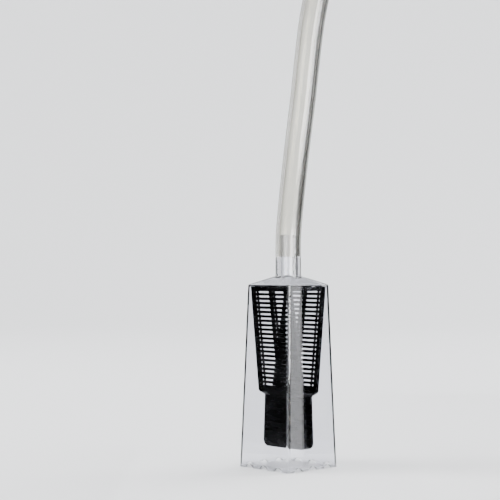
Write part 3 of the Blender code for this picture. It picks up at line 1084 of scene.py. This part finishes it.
@dataclass
class Hose:
    """The vinyl hose on one smooth centreline from the neck, over and down to its coil and end."""

    outer: float = 8.0 * MM
    bore: float = 6.0 * MM
    step: float = 5.0 * MM
    sides: int = 32
    easings: int = 3
    centre: Flat = (0.2850, 0.0700)
    turn_radius: float = 0.0800
    turns_deg: float = 540.0
    floor_height: float = 0.0082
    layer_rise: float = 0.0162
    climb_from: float = 262.0
    climb_over: float = 74.0
    settle_from: float = 470.0
    settle_over: float = 70.0
    settle_drop: float = 0.0009
    leaving_at: tuple[float, ...] = (20.0, 42.0, 62.0, 80.0)
    leaving_radius: float = 0.0650
    leaving_shift: float = 0.0150
    leaving_height: float = 0.0232
    leaving_fall: float = 0.0062
    rising: tuple[Point, ...] = (
        (0.0000, 0.0000, 0.1318),
        (0.0002, 0.0000, 0.1465),
        (0.0049, 0.0000, 0.1815),
        (0.0124, 0.0000, 0.2260),
        (0.0250, 0.0000, 0.2935),
        (0.0513, 0.0000, 0.3378),
        (0.1014, 0.0000, 0.3560),
        (0.1515, 0.0000, 0.3378),
        (0.1782, 0.0000, 0.2915),
        (0.1820, 0.0000, 0.2400),
        (0.1812, 0.0000, 0.1850),
        (0.1808, -0.0010, 0.1300),
        (0.1840, -0.0040, 0.0780),
        (0.1975, -0.0075, 0.0400),
        (0.2130, -0.0090, 0.0210),
        (0.2321, -0.0098, 0.0116),
        (0.2560, -0.0100, 0.0082),
    )
    draining: tuple[Point, ...] = (
        (0.2214, 0.0720, 0.0170),
        (0.2243, 0.0550, 0.0158),
        (0.2350, 0.0385, 0.0138),
        (0.2510, 0.0262, 0.0121),
        (0.2700, 0.0205, 0.0112),
        (0.2880, 0.0200, 0.0110),
        (0.3170, 0.0200, 0.0110),
    )

    def coiled(self) -> list[Point]:
        """The stored turns: one on the floor, then half a turn on top of it.

        Returns:
            Points along them, 15 degrees apart.
        """
        points = []
        for angle in range(0, int(self.turns_deg) + 1, 15):
            turn = math.radians(angle - 90)
            climb = min(max((angle - self.climb_from) / self.climb_over, 0.0), 1.0)
            lift = self.layer_rise * (3 * climb ** 2 - 2 * climb ** 3)
            settle = min(max((angle - self.settle_from) / self.settle_over, 0.0), 1.0)
            points.append((
                self.centre[0] + self.turn_radius * math.cos(turn),
                self.centre[1] + self.turn_radius * math.sin(turn),
                self.floor_height + lift - self.settle_drop * settle ** 2,
            ))
        return points

    def leaving(self) -> list[Point]:
        """Where the top turn peels off to the inside of the coil.

        Returns:
            Points along that stretch.
        """
        points = []
        for angle in self.leaving_at:
            turn = math.radians(90 + angle)
            share = angle / 100
            points.append((
                self.centre[0] + self.leaving_radius * math.cos(turn),
                self.centre[1] + self.leaving_shift + self.leaving_radius * math.sin(turn),
                self.leaving_height - self.leaving_fall * share ** 1.3,
            ))
        return points

    def route(self) -> list[Vector]:
        """A smooth curve through all of the hose's knots.

        Returns:
            Sixteen points for each pair of knots, and the last knot.
        """
        knots = [Vector(p) for p in (*self.rising, *self.coiled(), *self.leaving(), *self.draining)]
        knots = [2 * knots[0] - knots[1]] + knots + [2 * knots[-1] - knots[-2]]
        fine: list[Vector] = []
        for i in range(1, len(knots) - 2):
            before, first, last, after = knots[i - 1:i + 3]
            for k in range(16):
                t = k / 16
                fine.append(0.5 * (
                    2 * first
                    + (last - before) * t
                    + (2 * before - 5 * first + 4 * last - after) * t ** 2
                    + (3 * first - before - 3 * last + after) * t ** 3
                ))
        fine.append(knots[-2])
        return fine

    def evened(self, fine: list[Vector]) -> list[Vector]:
        """Points spaced evenly along a curve.

        Args:
            fine: the curve's own points.

        Returns:
            Points about one step apart.
        """
        lengths = [0.0]
        for first, last in zip(fine, fine[1:]):
            lengths.append(lengths[-1] + (last - first).length)
        count = round(lengths[-1] / self.step)
        path, place = [], 0
        for i in range(count + 1):
            target = lengths[-1] * i / count
            while place < len(fine) - 2 and lengths[place + 1] < target:
                place += 1
            share = (target - lengths[place]) / (lengths[place + 1] - lengths[place])
            path.append(fine[place].lerp(fine[place + 1], share))
        return path

    def centreline(self) -> list[Vector]:
        """The hose's centreline, with its last small kinks eased out.

        Returns:
            Its points, from the neck to the drain end.
        """
        path = self.evened(self.route())
        for _ in range(self.easings):
            eased = [(a + 2 * b + c) / 4 for a, b, c in zip(path, path[1:], path[2:])]
            path = [path[0], *eased, path[-1]]
        return path

    def rings(self, path: list[Vector], radius: float) -> list[Ring]:
        """Rings of a radius along the path, without twist.

        Args:
            path: the centreline.
            radius: the rings' radius.

        Returns:
            One ring for each point of the path.
        """
        side = Vector((0.0, 1.0, 0.0))
        turns = [2 * math.pi * k / self.sides for k in range(self.sides)]
        rings = []
        for i, spot in enumerate(path):
            ahead = path[min(i + 1, len(path) - 1)] - path[max(i - 1, 0)]
            ahead = Vector((0.0, 0.0, 1.0)) if i == 0 else ahead.normalized()
            side = (side - ahead * side.dot(ahead)).normalized()
            up = ahead.cross(side)
            rings.append([
                tuple(spot + side * (radius * math.cos(t)) + up * (radius * math.sin(t)))
                for t in turns
            ])
        return rings

    def mapped(self, work: bmesh.types.BMesh, rows: int) -> None:
        """Lay the finish's map along the hose: its length in tenths of a metre, then its turn.

        Args:
            work: the tube, outer rings first and inner rings after them in reverse.
            rows: how many outer rings it has.
        """
        work.faces.ensure_lookup_table()
        layer = work.loops.layers.uv.new("along_hose")
        work.verts.index_update()
        for face in work.faces:
            at_seam = max(loop.vert.index % self.sides for loop in face.loops) == self.sides - 1
            for loop in face.loops:
                row, column = divmod(loop.vert.index, self.sides)
                along = row if row < rows else 2 * rows - 1 - row
                turn = column + self.sides if at_seam and column == 0 else column
                loop[layer].uv = (along * self.step / 0.1, turn / self.sides)

    def build(self, finish: HoseVinyl, end_pieces: list[Piece]) -> Piece:
        """Args:
            finish: its finish.
            end_pieces: the clamp's pieces at its drain end; not used.

        Returns:
            The hose.
        """
        path = self.centreline()
        outside, inside = self.rings(path, self.outer), self.rings(path, self.bore)
        work = skin(outside + list(reversed(inside)), closed=True)
        self.mapped(work, len(path))
        hose = to_object("hose_tube", work)
        shade(hose, 60.0)
        finish_piece(
            hose, finish.material(), Body.SIPHON, Slot.VINYL,
            ["hose", "hose_coil", "hose_drain_end"],
        )
        length = sum((b - a).length for a, b in zip(path, path[1:]))
        LOG.info("hose length %.3f m", length)
        tuple(path[0])
        [tuple(p) for p in path]
        return hose


# ---- bucket clamp -------------------------------------------------------------------------------


def row_recipe(name: str) -> Recipe:
    """A tree that cuts a straight row of one shape into a piece.

    Args:
        name: the tree's name.

    Returns:
        The tree, with the inputs Shape, Count, Start, Step and Material.
    """
    recipe = Recipe(name, [
        ("Shape", THING), ("Count", WHOLE), ("Start", ARROW), ("Step", ARROW), ("Material", DRESS),
    ])
    given = recipe.given
    row = recipe.copies(recipe.line(given["Count"], given["Start"], given["Step"]), recipe.shape())
    recipe.close(recipe.cut(given["Geometry"], recipe.real(row)))
    return recipe


def ring_recipe(name: str) -> Recipe:
    """A tree that cuts a ring of one shape into a piece, turned about an axis along Y.

    Args:
        name: the tree's name.

    Returns:
        The tree, with the inputs Shape, Count, Centre and Material.
    """
    recipe = Recipe(name, [("Shape", THING), ("Count", WHOLE), ("Centre", ARROW), ("Material", DRESS)])
    given = recipe.given
    spots = recipe.line(given["Count"], given["Centre"], (0.0, 0.0, 0.0))
    index = recipe.node("GeometryNodeInputIndex")
    part = recipe.calc("DIVIDE", 2 * math.pi, given["Count"])
    spin = recipe.xyz(y=recipe.calc("MULTIPLY", index.outputs[0], part))
    recipe.close(recipe.cut(given["Geometry"], recipe.real(recipe.copies(spots, recipe.shape(), spin))))
    return recipe


def thread_recipe() -> Recipe:
    """A tree that winds a screw thread round a shank whose axis runs along Y.

    Returns:
        The tree, with the inputs Turns, Radius, Ridge, Length, Start and Material.
    """
    recipe = Recipe("screw_thread", [
        ("Turns", FLOAT), ("Radius", FLOAT), ("Ridge", FLOAT), ("Length", FLOAT), ("Start", ARROW),
        ("Material", DRESS),
    ])
    given = recipe.given
    spiral = recipe.node("GeometryNodeCurveSpiral", Resolution=40, Height=given["Length"])
    recipe.feed(spiral.inputs["Rotations"], given["Turns"])
    recipe.feed(spiral.inputs["Start Radius"], given["Radius"])
    recipe.feed(spiral.inputs["End Radius"], given["Radius"])
    ridge = recipe.node("GeometryNodeCurvePrimitiveCircle", Resolution=6, Radius=given["Ridge"])
    wound = recipe.node("GeometryNodeCurveToMesh", Curve=spiral.outputs[0])
    recipe.feed(wound.inputs["Profile Curve"], ridge.outputs["Curve"])
    recipe.feed(wound.inputs["Fill Caps"], True)
    laid = recipe.node("GeometryNodeTransform", Geometry=wound.outputs[0], Translation=given["Start"])
    recipe.feed(laid.inputs["Rotation"], (-math.pi / 2, 0.0, 0.0))
    join = recipe.node("GeometryNodeMeshBoolean", {"operation": "UNION", "solver": "EXACT"})
    recipe.tree.links.new(given["Geometry"], join.inputs["Mesh 2"])
    recipe.tree.links.new(laid.outputs[0], join.inputs["Mesh 2"])
    recipe.close(join.outputs["Mesh"])
    return recipe


@dataclass
class BucketClamp:
    """The clamp that holds the drain end on a bucket's rim: body, thumb screw and pressure pad."""

    hose_y: float = 20.0 * MM
    middle_z: float = 11.0 * MM
    cradle_x: float = 300.0 * MM
    cradle_length: float = 18.0 * MM
    cradle_inner: float = 8.3 * MM
    cradle_outer: float = 11.0 * MM
    cradle_mouth: float = 84.0
    back_jaw: float = 29.65 * MM
    gap_low: float = 32.85 * MM
    gap_high: float = 48.85 * MM
    front_jaw: float = 6.0 * MM
    bridge_x: float = 280.0 * MM
    bridge: float = 4.5 * MM
    inner_corner: float = 2.0 * MM
    outer_corner: float = 4.0 * MM
    core_out: tuple[float, float, float, float] = (285.0 * MM, 291.0 * MM, 49.9 * MM, 56.0 * MM)
    back_reach: float = 40.0 * MM
    front_reach: float = 30.0 * MM
    screw_x: float = 301.0 * MM
    shank: float = 3.4 * MM
    hole: float = 3.7 * MM
    tip: float = 2.1 * MM
    tip_length: float = 1.6 * MM
    seat_gap: float = 0.3 * MM
    pad_face: float = 45.55 * MM
    pad_back: float = 48.55 * MM
    pad_radius: float = 6.2 * MM
    knob_low: float = 67.45 * MM
    knob_high: float = 73.95 * MM
    knob_radius: float = 9.2 * MM
    flutes: int = 12
    flute_radius: float = 1.7 * MM
    flute_out: float = 0.9 * MM
    thread_pitch: float = 3.0 * MM
    ridge: float = 0.55 * MM
    grip_grooves: int = 9
    grip_from: float = 0.2930
    grip_step: float = 0.0030

    def across(self, a: float, b: float, depth: float) -> Point:
        """The point at (a, b) off the screw's axis and at a depth along Y."""
        return (self.screw_x + a, depth, self.middle_z + b)

    def turned(self, name: str, steps: Sequence[Flat], sides: int = 48) -> Piece:
        """A turned shape about the screw's axis.

        Args:
            name: the object's name.
            steps: (radius, depth) of each ring.
            sides: points round each ring.

        Returns:
            The shape.
        """
        rings = [
            circle(radius, sides, lambda a, b, y=depth: self.across(a, b, y))
            for radius, depth in steps
        ]
        return to_object(name, skin(rings))

    def jaws(self) -> Piece:
        """Make the U of the clamp with its rounded corners.

        Returns:
            The U.
        """
        left, far, near = self.bridge_x - self.bridge, self.gap_high + self.front_jaw, self.back_jaw
        back_end, front_end = self.bridge_x + self.back_reach, self.bridge_x + self.front_reach
        inside, outside = self.inner_corner, self.outer_corner
        outline = [(back_end, near), (back_end, self.gap_low)]
        outline += arc(self.bridge_x + inside, self.gap_low + inside, inside, 270, 180)
        outline += arc(self.bridge_x + inside, self.gap_high - inside, inside, 180, 90)
        outline += [(front_end, self.gap_high), (front_end, far)]
        outline += arc(left + outside, far - outside, outside, 90, 180)
        outline += arc(left + inside, near + inside, inside, 180, 270)
        return prism("clamp_body_moulding", outline, 0.0, 2 * self.middle_z, along_z)

    def cradle(self) -> Piece:
        """Make the snap-in cradle round the hose, open towards -Y.

        Returns:
            The cradle.
        """
        start, end = 180 + self.cradle_mouth / 2, 540 - self.cradle_mouth / 2
        outline = arc(self.hose_y, self.middle_z, self.cradle_outer, start, end, 44)
        outline += list(reversed(arc(self.hose_y, self.middle_z, self.cradle_inner, start, end, 44)))
        low = self.cradle_x - self.cradle_length / 2
        return prism("cradle", outline, low, low + self.cradle_length, along_x)

    def body(self, material: Dressing) -> Piece:
        """Make the clamp's body, with grip grooves across its back jaw.

        Args:
            material: its material.

        Returns:
            The body.
        """
        body = self.jaws()
        combine(body, self.cradle(), "UNION")
        far, hole, over = self.gap_high + self.front_jaw, self.hole, 2 * MM
        bore = [(hole, self.gap_high - over), (hole, far + over)]
        lead_in = [(hole, far - 0.9 * MM), (hole + 1.9 * MM, far + MM)]
        combine(body, self.turned("hole", bore), "DIFFERENCE")
        combine(body, self.turned("lead_in", lead_in), "DIFFERENCE")
        left, right, near, open_end = self.core_out
        pocket = [(left, near), (right, near), (right, open_end), (left, open_end)]
        for low, high in ((-1.0 * MM, 3.0 * MM), (19.0 * MM, 23.0 * MM)):
            combine(body, prism("core_out", pocket, low, high, along_z), "DIFFERENCE")
        vee = [(-0.45 * MM, 0.3 * MM), (0.0, -0.4 * MM), (0.45 * MM, 0.3 * MM)]
        groove = prism("groove", vee, -2 * MM, 24 * MM, along_z)
        row_recipe("grip_grooves").apply(
            body, Shape=groove, Count=self.grip_grooves, Start=(self.grip_from, self.gap_low, 0.0),
            Step=(self.grip_step, 0.0, 0.0), Material=material,
        )
        bpy.data.objects.remove(groove, do_unlink=True)
        soften(body, 0.30 * MM, 2)
        finish_piece(body, material, Body.SIPHON, Slot.CLAMP, ["clamp_body"])
        return body

    def blank(self) -> Piece:
        """Turn the thumb screw's blank: its tip, shank and knob.

        Returns:
            The blank, without flutes or thread.
        """
        seat, core = self.pad_back + self.seat_gap, self.shank - self.ridge
        tip, low, high, knob = self.tip, self.knob_low, self.knob_high, self.knob_radius
        return self.turned("thumb_screw", [
            (tip - 0.3 * MM, seat - self.tip_length),
            (tip, seat - self.tip_length + 0.3 * MM),
            (tip, seat),
            (core - 0.4 * MM, seat),
            (core, seat + 0.5 * MM),
            (core, low - 0.6 * MM),
            (core + 0.8 * MM, low),
            (knob - 0.7 * MM, low),
            (knob, low + 0.8 * MM),
            (knob, high - 1.5 * MM),
            (knob - 1.2 * MM, high - 0.1 * MM),
            (knob - 2.2 * MM, high),
            (knob - 3.2 * MM, high - 0.7 * MM),
            (1.6 * MM, high - 0.9 * MM),
            (1.0 * MM, high - 0.5 * MM),
        ], 72)

    def screw(self, material: Dressing) -> Piece:
        """Make the thumb screw: fluted knob, threaded shank and the tip that turns in the pad.

        Args:
            material: its material.

        Returns:
            The screw.
        """
        seat = self.pad_back + self.seat_gap
        screw = self.blank()
        scoop = arc(0.0, self.knob_radius + self.flute_out, self.flute_radius, 0, 350, 24)
        flute = prism("flute", scoop, self.knob_low - MM, self.knob_high + MM, along_y)
        ring_recipe("knob_flutes").apply(
            screw, Shape=flute, Count=self.flutes, Centre=self.across(0.0, 0.0, 0.0), Material=material,
        )
        bpy.data.objects.remove(flute, do_unlink=True)
        length = self.knob_low - seat - 2.4 * MM
        thread_recipe().apply(
            screw, Turns=length / self.thread_pitch, Radius=self.shank - self.ridge, Ridge=self.ridge,
            Length=length, Start=self.across(0.0, 0.0, seat + 1.2 * MM), Material=material,
        )
        soften(screw, 0.16 * MM, 2, 40.0)
        finish_piece(screw, material, Body.SCREW, Slot.CLAMP, ["clamp_screw"])
        return screw

    def pad(self, material: Dressing) -> Piece:
        """Make the pressure pad, with grip rings on its face and a socket for the screw's tip.

        Args:
            material: its material.

        Returns:
            The pad.
        """
        socket, face, back, rim = self.tip + 0.3 * MM, self.pad_face, self.pad_back, self.pad_radius
        valley = face + 0.45 * MM
        pad = self.turned("pressure_pad", [
            (0.7 * MM, valley), (1.1 * MM, face), (2.0 * MM, face), (2.4 * MM, valley),
            (2.9 * MM, valley), (3.3 * MM, face), (4.2 * MM, face), (4.6 * MM, valley),
            (5.0 * MM, valley), (5.3 * MM, face), (5.7 * MM, face),
            (rim, face + 0.6 * MM), (rim, back - 0.8 * MM), (rim - 1.4 * MM, back),
            (socket + 0.2 * MM, back), (socket, back - 0.2 * MM), (socket, back - self.tip_length),
        ])
        soften(pad, 0.10 * MM, 2)
        finish_piece(pad, material, Body.PAD, Slot.CLAMP, ["clamp_pad"])
        return pad

    def build(self, finish: BlackMoulding) -> list[Piece]:
        """Make and dress the clamp's three pieces.

        Args:
            finish: their finish.

        Returns:
            Body, screw and pad.
        """
        material = finish.material()
        return [self.body(material), self.screw(material), self.pad(material)]


# ---- studio -------------------------------------------------------------------------------------


@dataclass(frozen=True)
class Card:
    """A studio card beside the bell, for its clear faces to reflect; the camera does not see it.

    The bearing is in degrees from +X, about the axis of the bell; sizes are metres.
    """

    name: str
    bearing: float
    distance: float
    offset: float
    width: float
    height: float
    grey: float
    glow: float = 0.0
    lean: float = 0.0
    slant: float = 0.0
    foot: float = 0.002

    def build(self) -> None:
        """Stand the card up and leave it out of the camera's sight."""
        turn = math.radians(self.bearing)
        ahead = Vector((math.cos(turn), math.sin(turn), 0.0))
        along = Vector((-math.sin(turn), math.cos(turn), 0.0))
        rings = []
        for depth in (self.distance, self.distance + 2 * MM):
            corners = ((-0.5, 0.0), (0.5, 0.0), (0.5, 1.0), (-0.5, 1.0))
            rings.append([
                tuple(ahead * (depth + b * self.lean)
                      + along * (self.offset + a * self.width + b * self.height * self.slant)
                      + Vector((0.0, 0.0, self.foot + b * self.height)))
                for a, b in corners
            ])
        card = to_object(self.name, skin(rings))
        dye = Dye(self.name)
        grey = (self.grey, self.grey, self.grey, 1.0)
        dye.set(Base_Color=grey, Roughness=0.9, Specular_IOR_Level=0.0)
        dye.set(Emission_Color=(0.97, 0.98, 1.0, 1.0), Emission_Strength=self.glow)
        card.data.materials.append(dye.material)
        card.visible_camera = False
        card.visible_shadow = False
        card.visible_diffuse = False


@dataclass
class Studio:
    """Seamless pale paper, soft lights, reflecting cards and the camera."""

    eye: Point = (0.622, -0.622, 0.1275)
    aim: Point = (-0.0170, -0.0170, 0.1360)
    lens: float = 100.6
    paper: StudioPaper = field(default_factory=StudioPaper)
    floor_radius: float = 1.9
    wall_radius: float = 3.2
    wall_height: float = 3.4
    sweep_sides: int = 64
    sweep_steps: int = 12
    surround: float = 2.8
    cards: tuple[Card, ...] = (
        Card("flag_left", 227.0, 0.10, 0.06, 0.32, 0.46, 0.006, lean=0.34),
        Card("flag_right", 46.0, 0.10, 0.0483, 0.144, 0.46, 0.006, lean=0.32, slant=0.0354),
        Card("strip_right", 43.0, 0.08, -0.0265, 0.0178, 0.40, 0.8, 2.4, lean=0.26, slant=0.0575),
        Card("flag_back_left", 135.0, 0.50, 0.46, 0.66, 0.60, 0.55),
        Card("flag_back_right", 135.0, 0.50, -0.41, 0.66, 0.60, 0.06),
        Card("corner_light", 2.0, 0.70, 0.0, 0.62, 0.50, 0.8, 30.0, foot=0.05),
    )

    def sweep(self) -> None:
        """A round floor that curves up into its wall, with no line between them."""
        lift = self.wall_radius - self.floor_radius
        profile = [(self.floor_radius, 0.0)]
        for step in range(1, self.sweep_steps + 1):
            bend = math.radians(90 * step / self.sweep_steps)
            profile.append((self.floor_radius + lift * math.sin(bend), lift * (1 - math.cos(bend))))
        profile.append((self.wall_radius, self.wall_height))
        sides = self.sweep_sides
        rings = [circle(radius, sides, lambda a, b, z=z: (a, b, z)) for radius, z in profile]
        work = bmesh.new()
        rows = [[work.verts.new(point) for point in ring] for ring in rings]
        work.faces.new(rows[0])
        for low, high in zip(rows, rows[1:]):
            for i in range(sides):
                j = (i + 1) % sides
                work.faces.new((low[i], low[j], high[j], high[i]))
        bmesh.ops.recalc_face_normals(work, faces=work.faces)
        bmesh.ops.reverse_faces(work, faces=work.faces)
        floor = to_object("studio_floor", work)
        floor.data.materials.append(self.paper.material())
        floor.data.shade_smooth()

    def light(self, name: str, at: Point, to: Point, size: Flat, power: float) -> None:
        """A soft rectangular light.

        Args:
            name: its name.
            at: where it stands.
            to: what it faces.
            size: its width and height.
            power: watts.
        """
        lamp = bpy.data.lights.new(name, "AREA")
        lamp.shape = "RECTANGLE"
        lamp.size, lamp.size_y = size
        lamp.energy = power
        item = bpy.data.objects.new(name, lamp)
        bpy.context.scene.collection.objects.link(item)
        item.location = at
        item.rotation_euler = (Vector(to) - Vector(at)).to_track_quat("-Z", "Y").to_euler()

    def camera(self) -> None:
        """The camera, corner-on at the height of the bell's shoulder."""
        data = bpy.data.cameras.new("camera")
        data.lens = self.lens
        data.sensor_width = 36.0
        item = bpy.data.objects.new("camera", data)
        bpy.context.scene.collection.objects.link(item)
        item.location = self.eye
        item.rotation_euler = (Vector(self.aim) - Vector(self.eye)).to_track_quat("-Z", "Y").to_euler()
        bpy.context.scene.camera = item

    def world(self) -> None:
        """A pale even surround over the open top of the sweep."""
        world = bpy.data.worlds.new("surround")
        world.use_nodes = True
        sky = world.node_tree.nodes["Background"].inputs
        sky["Color"].default_value = (0.95, 0.965, 0.99, 1.0)
        sky["Strength"].default_value = self.surround
        bpy.context.scene.world = world

    def build(self) -> None:
        """Set up the whole studio."""
        self.camera()
        self.world()
        self.sweep()
        for card in self.cards:
            card.build()
        self.light("key_softbox", at=(-1.1, -1.2, 1.5), to=(0.0, 0.0, 0.1), size=(1.0, 1.0), power=36.0)
        self.light("back_softbox", at=(0.1, 1.6, 1.9), to=(-0.3, 0.5, 0.1), size=(1.4, 1.2), power=40.0)


def main() -> None:
    """Build the studio and every piece."""
    logging.basicConfig(level=logging.INFO, format="%(message)s")
    Studio().build()
    Bell().build(ClearMoulding())
    StrainerInsert().build(BlackMoulding())
    satin = BlackMoulding(
        name="clamp_moulding", deep=(0.006, 0.006, 0.007), end_tone=(0.014, 0.014, 0.015),
        shine=0.4, gloss=0.28, dull=0.46, grain=0.02 * MM,
    )
    clamp = BucketClamp().build(satin)
    Hose().build(HoseVinyl(), clamp)


if __name__ == "__main__":
    main()
